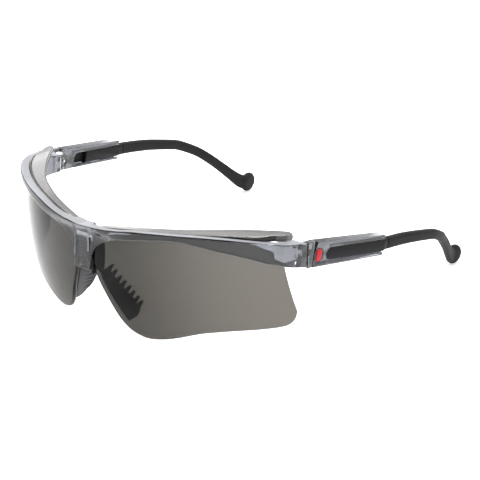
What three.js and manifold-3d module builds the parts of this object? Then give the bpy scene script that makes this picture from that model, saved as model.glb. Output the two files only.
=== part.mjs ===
// Wrap-around safety glasses with smoke lenses, a clear-grey brow frame and adjustable temples.
// Millimetres, +Z up, +Y towards the back of the wearer's head, +X towards the wearer's left.
// The glasses stand on a table as they do when put down: on the lower rims of both lenses
// and on both temple tips, with the temples in their lowest click.
import * as THREE from 'three';
import { mergeVertices } from 'three/addons/utils/BufferGeometryUtils.js';
import Module from 'manifold-3d';

const wasm = await Module();
wasm.setup();

// ---------------------------------------------------------------- driving dimensions (mm)
const GAP = 0.3;                      // clearance between neighbouring pieces

const BAR_FRONT = { radius: 78, axisY: 69.7, endX: 65.5 };   // plan arc of the brow bar's front face
const BAR_REAR = { radius: 75, axisY: 71.2, endX: 63.6 };    // plan arc of its rear face
const BAR_STEPS = 28;                 // flats in each half of those arcs
const CAP_HEIGHT = 2.0;               // plastic left above the top of each lens
const BRIDGE_HALF = 4.2;              // half width of the block between the lenses
const BRIDGE_BOTTOM = 30;
const BRIDGE_TOP = 49.8;
const BRIDGE_Y = { front: -7.2, rear: -1.4 };
const RECESS = { depth: 3.4, top: 50.9, height: 6, fullTo: 6, endsAt: 29 };  // of the face at the nose
const BROW_REF_Z = 52;                // height where the lens stands furthest forward

const LENS_RADIUS = 77.8;             // plan radius of the lens front
const LENS_AXIS_Y = 73.4;
const LENS_SAG = 0.0049;              // how fast the lens recedes with the square of its drop
const LENS_LEAN = 0.035;              // forward lean at the brow, per mm of drop
const LENS_SPLAY = 0.036;             // outward lean of the lens sides, per mm of drop
const LENS_THICK = 2.2;
const LENS_INNER_X = 4.8;

const GUARD_THICK = 1.5;
const GUARD_FRONT_X = { from: 6.2, to: 62.8 };   // stretch of the guard that follows the bar

const END_REAR_Y = 47.6;              // rear face of each end piece
const END_INNER_X = 64.2;
const END_UNDERCUT = { inner: 39.6, outer: 36.6, outerX: 71 };   // its underside slopes down outwards
const FOLD_AXIS = { x: 67.4, y: 49.6 };
const HINGE_Z = { low: 39, high: 45.4 };         // ends of the barrel
const PLATE_Z = { low: 36.4, inner: 37.5, high: 47 };   // the block's outer plate, undercut inside
const PLATE_DEPTH = 6;                // before it is trimmed to the slope of the sleeve
const KNUCKLE_RADIUS = 2;
const KNUCKLE_HEIGHT = 1.8;           // each of the end piece's two knuckles
const SCREW_RADIUS = 0.9;
const BLOCK_REAR_Y = 51.2;
const BLOCK_OUTER_X = 72.9;

const TEMPLE_START = { x: 71.1, y: 51.5, z: 41.0 };  // centre of the sleeve's front face
const TEMPLE_YAW = 5.2;               // degrees outwards
const TEMPLE_DROP = 8.7;              // degrees downwards
const SLEEVE_LENGTH = 40.5;
const SLEEVE_HALF_THICK = 2.0;
const SLEEVE_TOP = { front: 5.5, rear: 4.6 };
const SLEEVE_BOTTOM = { front: -4.9, rear: -4.1, inner: -3.7 };
const OUTER_SLOT_START = 6.8;
const INNER_SLOT_START = 9.6;
const SLOT_HALF_HEIGHT = 2.7;
const GROOVE = { depth: 0.9, halfWidth: 0.8 };
const TILT_PIVOT_Y = 3.2;             // along the sleeve from its front face
const BADGE_Y = 2.8;                  // middle of the marker, along the sleeve
const TILT_RELIEF = 1.4;              // set-back of the sleeve's upper front edge, for 12 degrees of tilt
const LUG = { radius: 2.7, halfThick: 0.8 };
const TILT_PIN_RADIUS = 0.7;

const ARM_HALF_THICK = 1.8;
const ARM_TAPER = 0.25;               // share of that thickness lost by the tip
const SECTION_POWER = 4;              // how square the arm's rounded section is
const GRIP_START = 43.5;              // where the soft grip covers the slider
const ARM_FULL_START = 18.3;          // where the arm fills the whole thickness of the sleeve
const TIP_DISC = { halfThick: 1.8, halfLength: 4.4, halfHeight: 4.4 };
const TANG = { inner: -1.5, outer: -0.4, low: -1.2, high: 1.4, rear: 54 };   // of the slider, in the grip
const BADGE = { width: 3.0, height: 5.2, corner: 1.3, thick: 0.5, recess: 0.35 };

const NOSE_PLUG = { half: 2.6, front: -3.6, low: 33.5, high: 44 };
const CLIP_Y = { front: -0.9, rear: 1.3 };
const PAD_THICK = 1.5;
const PAD_RIBS = 8;
const PAD_RIB = { half: 0.55, rear: 1.2, proud: 0.1 };
const PAD_BULGE = 1.4;                // how far the lower end is rounded out

const SEGMENTS = 24;                  // sides of small round pieces
const BEYOND = 8;                     // how far a cutting shape runs past what it cuts
const REST_PITCH = 0.95;              // degrees the finished frame leans so all four feet touch

// ---------------------------------------------------------------- outlines shared by pieces
const BROW_TOP = [[0, 49.9], [12, 51.1], [19, 52], [25.2, 53], [35, 53.7], [43.4, 53.9],
  [49.6, 53.8], [56.7, 53.1], [63, 51.8], [67.5, 50.4], [74, 48.2]];
const BROW_BOTTOM = [[4.6, 35.2], [5.9, 39.1], [7.7, 41.6], [10, 43.5], [13.2, 45.2], [16.9, 46.9],
  [21, 48.1], [27.3, 49.4], [33, 50.3], [38, 50.9], [43.8, 50.8], [49.7, 49.2], [58.2, 46.4],
  [63.2, 44.1], [67.7, 41.3], [74, 38]];
const LENS_RIM = [[LENS_INNER_X, 31.5], [5.5, 29], [6.8, 24.7], [10.2, 16.7], [13.2, 9.8],
  [16.6, 5.3], [20.5, 3.2], [24.6, 2.5], [31.1, 3.6], [37.3, 5.7], [45, 8.7], [51.6, 10.2],
  [57.5, 11], [62.8, 11.4], [67.5, 11.8], [69.7, 12.6], [71, 14.8], [71.7, 18.4]];
const END_OUTSIDE = [[69.3, 34], [71.6, 40.5], [72.6, 45.5], [72.8, END_REAR_Y]];   // plan, to the rear
const END_INSIDE = [[END_INNER_X, END_REAR_Y], [64.4, 42]];                        // plan, to the front
const END_TOP = [[33, 50], [37, 49], [42.3, 48.3], [END_REAR_Y, 47.4]];      // y, z
const END_BOTTOM = [[33, 41], [36.2, 39.8], [39.4, 38.7], [42.7, 37.9], [END_REAR_Y, 36.8]];
const GUARD_REAR = [[7, 0.2], [12.3, 1.2], [18.8, 3], [26.4, 6.2], [36.7, 12.3], [42.5, 17.4],
  [49.3, 24.5], [55.7, 32.2], [60.6, 38.5], [64.4, 43.4]];
const GUARD_END = [[66.2, 44.8], [67.8, 44.2], [68.2, 42], [67, 38.4]];
const GUARD_TOP = [[5, 49], [12, 50.3], [19, 51.4], [28, 52.3], [37, 52.9], [45, 53.1],
  [53, 53], [60, 52.3], [68, 50.9]];
const PAD_FRONT = [[5.3, 0.4, 29.2], [7.2, 1.5, 24], [10.8, 4, 16.5], [14.4, 7.2, 9]];
const PAD_REAR = [[3.6, 5.8, 28.6], [6.4, 9, 22.6], [10.2, 12, 17], [14, 13.8, 12.2]];

// ---------------------------------------------------------------- geometry helpers
const rad = THREE.MathUtils.degToRad;
const vector2 = ([x, y]) => new THREE.Vector2(x, y);
const vector3 = ([x, y, z]) => new THREE.Vector3(x, y, z);
const outline = (points) => new THREE.Shape(points.map(vector2));

/** Height of a spline given as [x, height] points, at one x. */
function heightAt(points, x) {
  const last = points.length - 1;
  let i = 0;
  while (i < last - 1 && points[i + 1][0] < x) i += 1;
  const [x0, z0] = points[i];
  const [x1, z1] = points[i + 1];
  const t = THREE.MathUtils.clamp((x - x0) / (x1 - x0), 0, 1);
  return THREE.MathUtils.lerp(z0, z1, t);
}

/** A closed three.js geometry as a solid for joining and cutting. */
function solid(geometry) {
  geometry.deleteAttribute('normal');
  geometry.deleteAttribute('uv');
  const merged = mergeVertices(geometry, 1e-4);
  return new wasm.Manifold(new wasm.Mesh({
    numProp: 3,
    vertProperties: new Float32Array(merged.attributes.position.array),
    triVerts: new Uint32Array(merged.index.array),
  }));
}

/** A solid back as a three.js geometry. */
function toGeometry(body) {
  const mesh = body.getMesh();
  const geometry = new THREE.BufferGeometry();
  geometry.setAttribute('position', new THREE.BufferAttribute(mesh.vertProperties, 3));
  geometry.setIndex(new THREE.BufferAttribute(mesh.triVerts, 1));
  geometry.computeVertexNormals();
  return geometry;
}

/** An axis-aligned block from its lowest and highest corner. */
function block(low, high) {
  const size = high.map((value, i) => value - low[i]);
  const geometry = new THREE.BoxGeometry(...size);
  geometry.translate(...low.map((value, i) => value + size[i] / 2));
  return solid(geometry);
}

/** An upright round bar along Z. */
function postZ(x, y, low, high, radius) {
  const geometry = new THREE.CylinderGeometry(radius, radius, high - low, SEGMENTS);
  geometry.rotateX(Math.PI / 2);
  geometry.translate(x, y, (low + high) / 2);
  return solid(geometry);
}

/** A round bar along X. */
function postX(low, high, y, z, radius) {
  const geometry = new THREE.CylinderGeometry(radius, radius, high - low, SEGMENTS);
  geometry.rotateZ(Math.PI / 2);
  geometry.translate((low + high) / 2, y, z);
  return solid(geometry);
}

/** A unit block cut into cells, each corner moved to place(u, v, w). */
function mapped(nu, nv, nw, place) {
  const geometry = new THREE.BoxGeometry(1, 1, 1, nu, nv, nw);
  const position = geometry.attributes.position;
  for (let i = 0; i < position.count; i += 1) {
    const [x, y, z] = place(position.getX(i) + 0.5, position.getY(i) + 0.5, position.getZ(i) + 0.5);
    position.setXYZ(i, x, y, z);
  }
  return solid(geometry);
}

const extruded = (shape, depth, curveSegments) => (
  new THREE.ExtrudeGeometry(shape, { depth, bevelEnabled: false, curveSegments }));

/** An outline in plan (x, y), extruded upwards from low to high. */
function fromPlan(shape, low, high, curveSegments = 10) {
  const geometry = extruded(shape, high - low, curveSegments);
  geometry.translate(0, 0, low);
  return solid(geometry);
}

/** An outline in front view (x, z), extruded backwards from near to far. */
function fromFront(shape, near, far, curveSegments = 10) {
  const geometry = extruded(shape, far - near, curveSegments);
  geometry.rotateX(Math.PI / 2);
  geometry.translate(0, far, 0);
  return solid(geometry);
}

/** An outline in side view (y, z), extruded from low x to high x. */
function fromSide(shape, low, high, curveSegments = 10) {
  const geometry = extruded(shape, high - low, curveSegments);
  geometry.rotateZ(Math.PI / 2);
  geometry.rotateY(Math.PI / 2);
  geometry.translate(low, 0, 0);
  return solid(geometry);
}

/** A piece cut back from its neighbour, with the usual gap on every side. */
function clearOf(body, neighbour) {
  let cut = body.subtract(neighbour);
  for (const axis of [0, 1, 2]) {
    for (const way of [-GAP, GAP]) {
      const shift = [0, 0, 0];
      shift[axis] = way;
      cut = cut.subtract(neighbour.translate(shift));
    }
  }
  return cut;
}

/** The same points on the other side of the middle plane, in reverse order. */
const mirrored = (points) => points.map(([x, y]) => [-x, y]).reverse();

/** Points along a plan arc whose centre is on the middle plane. */
function arcPoints({ radius, axisY }, fromX, toX, count) {
  const start = Math.asin(fromX / radius);
  const end = Math.asin(toX / radius);
  return Array.from({ length: count + 1 }, (_, i) => {
    const angle = THREE.MathUtils.lerp(start, end, i / count);
    return [radius * Math.sin(angle), axisY - radius * Math.cos(angle)];
  });
}

/** Points along a smooth curve through the given ones. */
function smooth(points, perSpan = 2) {
  const curve = new THREE.SplineCurve(points.map(vector2));
  return curve.getPoints((points.length - 1) * perSpan).map((p) => [p.x, p.y]);
}

// ---------------------------------------------------------------- lens surface
/** The point at a distance round the lens, a depth behind its front face and a height. */
function lensPoint(round, depth, z) {
  const angle = round / LENS_RADIUS;
  const radius = LENS_RADIUS - depth;
  const drop = BROW_REF_Z - z;
  return [
    LENS_SPLAY * drop + radius * Math.sin(angle),
    LENS_AXIS_Y + (LENS_SAG * drop - LENS_LEAN) * drop - radius * Math.cos(angle),
    z,
  ];
}

/** Distance round the lens front of the point that lies at x in front view. */
function alongLens([x, z]) {
  return [LENS_RADIUS * Math.asin((x - LENS_SPLAY * (BROW_REF_Z - z)) / LENS_RADIUS), z];
}

/** The lens between two depths, grown by a margin for the room that the frame leaves it. */
function lensSheet(front, back, margin) {
  const rise = margin - CAP_HEIGHT - GAP;
  const brow = BROW_TOP.filter(([x]) => x > 4 && x < 66).map(([x, z]) => [x, z + rise]);
  const top = [[LENS_INNER_X, brow[0][1] - 0.5], ...brow, [68.8, 46.6 + margin]];
  const lower = new THREE.SplineCurve(LENS_RIM.map(alongLens).map(vector2));
  const upper = new THREE.SplineCurve(top.map(alongLens).map(vector2));
  return mapped(28, 1, 10, (u, v, w) => {
    const point = lower.getPointAt(u).lerp(upper.getPointAt(u), w);
    return lensPoint(point.x + margin * (2 * u - 1), THREE.MathUtils.lerp(front, back, v), point.y);
  });
}

/** One lens, moulded with the brow guard that runs back from its upper edge. */
function lens(frameSolid) {
  return lensSheet(0, LENS_THICK, 0).add(clearOf(browGuard(), frameSolid));
}

// ---------------------------------------------------------------- brow frame
function browFrame() {
  const outside = [...arcPoints(BAR_FRONT, 0, BAR_FRONT.endX, BAR_STEPS), ...END_OUTSIDE];
  const inside = [...END_INSIDE, ...arcPoints(BAR_REAR, 0, BAR_REAR.endX, BAR_STEPS).reverse()];
  const plan = [...outside, ...inside];
  const face = [[BRIDGE_HALF, BRIDGE_BOTTOM], ...BROW_BOTTOM, ...[...BROW_TOP].reverse()];
  const bar = fromPlan(outline([...plan, ...mirrored(plan)]), 25, 60)
    .intersect(fromFront(outline([...face, ...mirrored(face)]), -20, 34));
  const bridge = block([-BRIDGE_HALF, BRIDGE_Y.front, BRIDGE_BOTTOM],
    [BRIDGE_HALF, BRIDGE_Y.rear, BRIDGE_TOP]);
  const end = endPiece();
  let body = bar.add(bridge).subtract(noseRecess()).subtract(nosePlug(GAP));
  body = body.add(end).add(onSide(end, -1));
  for (const side of [1, -1]) {
    const cut = lensSheet(-GAP, 10, GAP);
    const knuckles = endKnuckles();
    body = body.subtract(onSide(cut, side)).subtract(onSide(knuckles.clear, side));
    body = body.add(onSide(knuckles.body, side)).subtract(onSide(knuckles.bore, side));
  }
  return body;
}

/** The left end piece, which carries the hinge: its plan, side and front outlines combined. */
function endPiece() {
  const plan = [[BAR_FRONT.endX, 33], ...END_OUTSIDE, ...END_INSIDE];
  const side = [...END_BOTTOM, ...[...END_TOP].reverse()];
  const innerX = END_INNER_X - 1;
  const outerX = BLOCK_OUTER_X + BEYOND;
  const top = BROW_REF_Z + BEYOND;
  const front = [[innerX, END_UNDERCUT.inner], [END_UNDERCUT.outerX, END_UNDERCUT.outer],
    [outerX, END_UNDERCUT.outer], [outerX, top], [innerX, top]];
  return fromPlan(outline(plan), 30, top)
    .intersect(fromSide(outline(side), innerX, outerX))
    .intersect(fromFront(outline(front), 30, END_REAR_Y + BEYOND));
}

/** What is cut off the front near the nose, where the face sweeps back into the bridge. */
function noseRecess() {
  return mapped(20, 1, 8, (u, v, w) => {
    const x = THREE.MathUtils.lerp(-30, 30, u);
    const z = THREE.MathUtils.lerp(BRIDGE_BOTTOM - 2, RECESS.top, w);
    const down = THREE.MathUtils.smoothstep(RECESS.top - z, 0, RECESS.height);
    const across = 1 - THREE.MathUtils.smoothstep(Math.abs(x), RECESS.fullTo, RECESS.endsAt);
    const face = BAR_FRONT.axisY - Math.sqrt(BAR_FRONT.radius ** 2 - x * x);
    return [x, THREE.MathUtils.lerp(-15, face + RECESS.depth * down * across - 0.01, v), z];
  });
}

/** A solid kept as it is on the left, or mirrored to the right. */
const onSide = (body, side) => (side > 0 ? body : body.mirror([1, 0, 0]));

/** The two fixed hinge knuckles of an end piece, the room for the moving one, and the bore. */
function endKnuckles() {
  const { x, y } = FOLD_AXIS;
  const { low, high } = HINGE_Z;
  const web = (a, b) => block([x - KNUCKLE_RADIUS, END_REAR_Y - 1.5, a], [x + 1.2, y, b]);
  const ring = (a, b) => postZ(x, y, a, b, KNUCKLE_RADIUS).add(web(a, b));
  return {
    body: ring(low, low + KNUCKLE_HEIGHT).add(ring(high - KNUCKLE_HEIGHT, high)),
    clear: postZ(x, y, low + KNUCKLE_HEIGHT, high - KNUCKLE_HEIGHT, KNUCKLE_RADIUS + GAP),
    bore: postZ(x, y, low - 1, high + 1, SCREW_RADIUS + GAP),
  };
}

/** The shelf over the brow, from the rear of the bar to its free edge. */
function browGuard() {
  const rear = smooth(GUARD_REAR);
  const hugging = { radius: BAR_REAR.radius - GAP, axisY: BAR_REAR.axisY };
  const front = arcPoints(hugging, GUARD_FRONT_X.from, GUARD_FRONT_X.to, 16).reverse();
  const plan = outline([...rear, ...GUARD_END, ...front].reverse());
  const sheet = new THREE.ExtrudeGeometry(plan, { depth: GUARD_THICK, bevelEnabled: false });
  const position = sheet.attributes.position;
  for (let i = 0; i < position.count; i += 1) {
    const lift = heightAt(GUARD_TOP, position.getX(i)) - GUARD_THICK;
    position.setZ(i, position.getZ(i) + lift);
  }
  return solid(sheet);
}

// ---------------------------------------------------------------- nosepiece
/** The plug that holds the nosepiece in the bridge, grown by a margin for its pocket. */
function nosePlug(margin) {
  const half = NOSE_PLUG.half + margin;
  return block([-half, NOSE_PLUG.front - margin, NOSE_PLUG.low - margin], [half, 0, NOSE_PLUG.high + margin]);
}

/** One soft nose pad: a curved plate with ribs along its rear edge. */
function nosePad() {
  const front = new THREE.CatmullRomCurve3(PAD_FRONT.map(vector3));
  const rear = new THREE.CatmullRomCurve3(PAD_REAR.map(vector3));
  let pad = mapped(14, 5, 1, (u, v, w) => {
    const bulge = PAD_BULGE * 4 * v * (1 - v) * u ** 8;
    const point = front.getPoint(u).lerp(rear.getPoint(u), v).addScaledVector(front.getTangent(u), bulge);
    point.x += PAD_THICK * w;
    return point.toArray();
  });
  for (let i = 0; i < PAD_RIBS; i += 1) {
    const { x, y, z } = rear.getPoint((i + 0.6) / PAD_RIBS);
    pad = pad.add(block([x - PAD_RIB.proud, y - 1, z - PAD_RIB.half],
      [x + PAD_THICK + PAD_RIB.proud, y + PAD_RIB.rear, z + PAD_RIB.half]));
  }
  return pad;
}

/** The hard clip behind the bridge: an arch, its plug and a cheek above each pad. */
function noseClip() {
  const arch = new THREE.Shape();
  arch.moveTo(-7, 30.8);
  arch.lineTo(-4, 29.5);
  arch.lineTo(4, 29.5);
  arch.lineTo(7, 30.8);
  arch.lineTo(7.4, 38);
  arch.bezierCurveTo(7.2, 43, 5.8, 45.4, 3, 45.6);
  arch.lineTo(-3, 45.6);
  arch.bezierCurveTo(-5.8, 45.4, -7.2, 43, -7.4, 38);
  const body = fromFront(arch, CLIP_Y.front, CLIP_Y.rear, 5).add(nosePlug(0));
  const lensRoom = lensSheet(-1, LENS_THICK + GAP, GAP);
  return body.subtract(lensRoom).subtract(onSide(lensRoom, -1));
}

// ---------------------------------------------------------------- hinge block and its pins
/** Turns temple coordinates (out, back, up) into glasses coordinates. */
const templeMatrix = new THREE.Matrix4().makeTranslation(...Object.values(TEMPLE_START))
  .multiply(new THREE.Matrix4().makeRotationZ(rad(-TEMPLE_YAW)))
  .multiply(new THREE.Matrix4().makeRotationX(rad(-TEMPLE_DROP)));

const placed = (body) => body.transform(templeMatrix.elements);

function hingeBlock() {
  const { x, y } = FOLD_AXIS;
  const low = HINGE_Z.low + KNUCKLE_HEIGHT + GAP;
  const high = HINGE_Z.high - KNUCKLE_HEIGHT - GAP;
  const front = END_REAR_Y + GAP;
  const inner = x + KNUCKLE_RADIUS + 2 * GAP;
  const ahead = placed(block([-20, -20, -20], [20, -GAP, 20]));   // room ahead of the sleeve
  const section = [[inner, PLATE_Z.inner], [BLOCK_OUTER_X, PLATE_Z.low],
    [BLOCK_OUTER_X, PLATE_Z.high], [inner, PLATE_Z.high]];
  const plate = fromFront(outline(section), front, END_REAR_Y + PLATE_DEPTH);
  const web = block([x, front + 0.4, low], [inner + 0.5, BLOCK_REAR_Y, high]);
  const knuckle = postZ(x, y, low, high, KNUCKLE_RADIUS);
  const lug = postX(-LUG.halfThick, LUG.halfThick, TILT_PIVOT_Y, 0, LUG.radius)
    .add(block([-LUG.halfThick, -2, -LUG.radius + 0.6], [LUG.halfThick, TILT_PIVOT_Y, LUG.radius - 0.6]));
  const bore = postX(-3, 3, TILT_PIVOT_Y, 0, TILT_PIN_RADIUS + GAP);
  return plate.intersect(ahead).add(web).add(knuckle).add(placed(lug))
    .subtract(placed(bore))
    .subtract(postZ(x, y, low - 1, high + 1, SCREW_RADIUS + GAP));
}

function foldScrew() {
  const { x, y } = FOLD_AXIS;
  const head = HINGE_Z.high + GAP;
  return postZ(x, y, HINGE_Z.low + GAP, head, SCREW_RADIUS).add(postZ(x, y, head, head + 0.6, 1.5));
}

// ---------------------------------------------------------------- temple, in its own frame
/** Outline of a slot with a round front end that runs out past the sleeve's rear. */
function slotShape(start, halfHeight, end) {
  const shape = new THREE.Shape();
  shape.moveTo(end, halfHeight);
  shape.lineTo(start + halfHeight, halfHeight);
  shape.absarc(start + halfHeight, 0, halfHeight, Math.PI / 2, Math.PI * 1.5, false);
  shape.lineTo(end, -halfHeight);
  return shape;
}

function templeSleeve() {
  const side = outline([[0, SLEEVE_BOTTOM.front], [SLEEVE_LENGTH, SLEEVE_BOTTOM.rear],
    [SLEEVE_LENGTH, SLEEVE_TOP.rear], [TILT_RELIEF, SLEEVE_TOP.front], [0, 0.6]]);
  const beyond = SLEEVE_LENGTH + 5;
  const half = SLEEVE_HALF_THICK;
  const section = outline([[-half, SLEEVE_BOTTOM.inner], [half, SLEEVE_BOTTOM.front],
    [half, BEYOND], [-half, BEYOND]]);
  return fromSide(side, -half, half).intersect(fromFront(section, -1, beyond))
    .subtract(fromSide(slotShape(OUTER_SLOT_START, SLOT_HALF_HEIGHT, beyond), 0, half + 1))
    .subtract(fromSide(slotShape(INNER_SLOT_START, SLOT_HALF_HEIGHT, beyond), -half - 1, 0.1))
    .subtract(block([-GROOVE.halfWidth, INNER_SLOT_START, -SLOT_HALF_HEIGHT - GROOVE.depth],
      [GROOVE.halfWidth, beyond, SLOT_HALF_HEIGHT + GROOVE.depth]))
    .subtract(postX(-LUG.halfThick - GAP, LUG.halfThick + GAP, TILT_PIVOT_Y, 0, LUG.radius + GAP))
    .subtract(block([-LUG.halfThick - GAP, -1, -LUG.radius - GAP],
      [LUG.halfThick + GAP, TILT_PIVOT_Y, LUG.radius + GAP]))
    .subtract(postX(-half - 1, half - BADGE.recess - GAP, TILT_PIVOT_Y, 0, TILT_PIN_RADIUS + GAP))
    .subtract(badgeBody(GAP));
}

function tiltPin() {
  const half = SLEEVE_HALF_THICK;
  return postX(-half + 0.1, half - BADGE.recess - 3 * GAP, TILT_PIVOT_Y, 0, TILT_PIN_RADIUS);
}

/** A plain marker with rounded corners let into the outer face of the sleeve. */
function badgeBody(margin) {
  const radius = BADGE.corner + margin;
  const reach = BADGE.height / 2 - BADGE.corner;
  const rear = BADGE_Y + BADGE.width / 2 - BADGE.corner;
  const front = BADGE_Y - BADGE.width / 2 + BADGE.corner;
  const plate = new THREE.Shape();
  plate.absarc(rear, reach, radius, 0, Math.PI / 2, false);
  plate.absarc(front, reach, radius, Math.PI / 2, Math.PI, false);
  plate.absarc(front, -reach, radius, Math.PI, Math.PI * 1.5, false);
  plate.absarc(rear, -reach, radius, Math.PI * 1.5, Math.PI * 2, false);
  const inner = SLEEVE_HALF_THICK - BADGE.recess - (margin > 0 ? GAP : 0);
  return fromSide(plate, inner, inner + BADGE.thick + margin, 5);
}

// Centre line of the arm behind the sleeve, and its height there: back, out, up, half height.
const ARM_PATH = [[40, 0, 0, 2.6], [47, -0.6, 0.2, 2.55], [54.2, -1.6, 0.3, 2.5],
  [62, -2.6, 0.1, 2.4], [69.3, -3.8, -0.4, 2.3], [75, -4.8, -0.9, 2.25], [80.5, -6, -1.7, 2.2],
  [88.7, -9.2, -4.45, 2.15], [93.9, -12, -7.2, 2.15], [100.4, -15, -11.4, 2.2], [106.8, -18.3, -16, 2.45],
  [111.5, -20.6, -19, 3], [114.6, -21.8, -19.4, 3.7]];
const TIP_CENTRE = [-22, 115.2, -19.4];

/** The curved rear part of the temple with its flat round tip. */
function armTail() {
  const path = new THREE.CatmullRomCurve3(ARM_PATH.map(([back, out, up]) => vector3([out, back, up])));
  const sizes = new THREE.SplineCurve(ARM_PATH.map((p, i) => new THREE.Vector2(i, p[3])));
  const tail = mapped(26, 4, 4, (u, v, w) => {
    const along = path.getTangent(u);
    const outward = new THREE.Vector3(along.y, -along.x, 0).normalize();
    const upward = outward.clone().cross(along).normalize();
    const across = Math.abs(2 * w - 1);
    const over = Math.abs(2 * v - 1);
    const corner = (across ** SECTION_POWER + over ** SECTION_POWER) ** (1 / SECTION_POWER);
    const round = corner > 0 ? Math.max(across, over) / corner : 1;
    return path.getPoint(u)
      .addScaledVector(outward, (2 * w - 1) * round * ARM_HALF_THICK * (1 - ARM_TAPER * u * u))
      .addScaledVector(upward, (2 * v - 1) * round * sizes.getPoint(u).y).toArray();
  });
  const disc = new THREE.SphereGeometry(1, 16, 10);
  disc.scale(TIP_DISC.halfThick, TIP_DISC.halfLength, TIP_DISC.halfHeight);
  disc.rotateX(rad(TEMPLE_DROP));
  disc.translate(...TIP_CENTRE);
  return tail.add(solid(disc));
}

/** The tang of the slider inside the grip, grown by a margin for its hole. */
function tang(margin) {
  return block([TANG.inner - margin, GRIP_START - 1, TANG.low - margin],
    [TANG.outer + margin, TANG.rear + margin, TANG.high + margin]);
}

const along = (from, to) => block([-40, from, -40], [40, to, 40]);

/** The stiff bar that slides in the sleeve. */
function templeSlider() {
  const height = SLOT_HALF_HEIGHT - GAP;
  const blade = fromSide(slotShape(OUTER_SLOT_START + GAP, height, ARM_FULL_START + 2), 0.2, ARM_HALF_THICK);
  const bar = block([-ARM_HALF_THICK, ARM_FULL_START, -height], [ARM_HALF_THICK, SLEEVE_LENGTH + 1, height]);
  const reach = height + GROOVE.depth;
  const tongue = block([-GROOVE.halfWidth + GAP, ARM_FULL_START, -reach],
    [GROOVE.halfWidth - GAP, SLEEVE_LENGTH - 0.5, reach]);
  return armTail().intersect(along(0, GRIP_START)).add(blade).add(bar).add(tongue).add(tang(0));
}

/** The soft grip over the slider's tang. */
function templeGrip() {
  return armTail().intersect(along(GRIP_START + GAP, 200)).subtract(tang(GAP));
}

// ---------------------------------------------------------------- assembly
const materials = {
  frame: { color: 0x9aa0ab, roughness: 0.16, metalness: 0 },
  lens: { color: 0x6f6a64, roughness: 0.05, metalness: 0 },
  pad: { color: 0x5a5c60, roughness: 0.5, metalness: 0 },
  arm: { color: 0x3b3a3c, roughness: 0.45, metalness: 0 },
  grip: { color: 0x474648, roughness: 0.6, metalness: 0 },
  steel: { color: 0xb8bbc0, roughness: 0.3, metalness: 1 },
  badge: { color: 0xd5182a, roughness: 0.35, metalness: 0 },
};

function part(name, body, look) {
  const mesh = new THREE.Mesh(toGeometry(body), new THREE.MeshStandardMaterial(materials[look]));
  mesh.name = name;
  return mesh;
}

const frame = browFrame();
const glasses = new THREE.Group();
glasses.add(part('brow_frame', frame, 'frame'));
const clip = noseClip();
glasses.add(part('nose_clip', clip, 'arm'));

for (const [name, side] of [['left', 1], ['right', -1]]) {
  const half = new THREE.Group();
  half.scale.x = side;
  half.add(part(`${name}_lens`, lens(frame), 'lens'));
  half.add(part(`${name}_nose_pad`, clearOf(nosePad(), clip), 'pad'));
  half.add(part(`${name}_hinge_block`, hingeBlock(), 'frame'));
  half.add(part(`${name}_fold_screw`, foldScrew(), 'steel'));
  const temple = new THREE.Group();
  temple.applyMatrix4(templeMatrix);
  temple.add(part(`${name}_temple_sleeve`, templeSleeve(), 'frame'));
  temple.add(part(`${name}_tilt_pin`, tiltPin(), 'steel'));
  temple.add(part(`${name}_badge`, badgeBody(0), 'badge'));
  temple.add(part(`${name}_temple_slider`, templeSlider(), 'arm'));
  temple.add(part(`${name}_temple_grip`, templeGrip(), 'grip'));
  half.add(temple);
  glasses.add(half);
}

// Stand the glasses on their lens rims and temple tips, centred over the origin.
glasses.rotation.x = rad(REST_PITCH);
glasses.updateMatrixWorld(true);
const box = new THREE.Box3().setFromObject(glasses, true);
glasses.position.set(0, -(box.min.y + box.max.y) / 2, -box.min.z);

export default glasses;
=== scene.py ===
# Wrap-around safety glasses: the looks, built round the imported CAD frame.
# Shapes are written in the CAD's own design millimetres and carried into the frame by place().
import math
import bpy
import bmesh
import numpy as np
from mathutils import Matrix, Vector


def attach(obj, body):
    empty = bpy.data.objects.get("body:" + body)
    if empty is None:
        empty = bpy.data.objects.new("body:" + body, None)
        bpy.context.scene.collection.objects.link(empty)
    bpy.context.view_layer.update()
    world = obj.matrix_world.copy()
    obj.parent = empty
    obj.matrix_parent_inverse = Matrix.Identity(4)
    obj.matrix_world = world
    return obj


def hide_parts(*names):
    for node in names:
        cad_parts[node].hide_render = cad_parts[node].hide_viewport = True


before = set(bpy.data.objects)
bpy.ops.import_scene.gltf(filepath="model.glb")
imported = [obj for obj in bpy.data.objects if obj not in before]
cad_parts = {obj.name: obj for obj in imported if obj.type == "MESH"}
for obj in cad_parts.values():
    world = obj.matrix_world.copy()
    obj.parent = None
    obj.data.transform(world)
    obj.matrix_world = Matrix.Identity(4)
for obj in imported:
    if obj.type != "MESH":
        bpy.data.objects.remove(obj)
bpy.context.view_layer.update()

# ------------------------------------------------------------------ design frame to row frame
REST_PITCH = math.radians(0.95)
REST_SHIFT = np.array([0.0, -79.78342, -2.69202])
REST = np.array([[1, 0, 0],
                 [0, math.cos(REST_PITCH), -math.sin(REST_PITCH)],
                 [0, math.sin(REST_PITCH), math.cos(REST_PITCH)]])


def place(points):
    """Design millimetres to metres in the row frame."""
    return (np.asarray(points, float) @ REST.T + REST_SHIFT) / 1000


def turn(axis, degrees):
    return np.array(Matrix.Rotation(math.radians(degrees), 3, axis))


SIDES = (("left", 1), ("right", -1))     # the wearer's side, and its sign along X
UP = np.array([0, 0, 1.0])
TEMPLE_START = np.array([71.1, 51.5, 41.0])
TEMPLE_OUT = -5.2                        # degrees: the sleeve runs back and a little outwards
TEMPLE_DIP = -8.7                        # degrees: and down
TEMPLE_TURN = turn("Z", TEMPLE_OUT) @ turn("X", TEMPLE_DIP)


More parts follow.
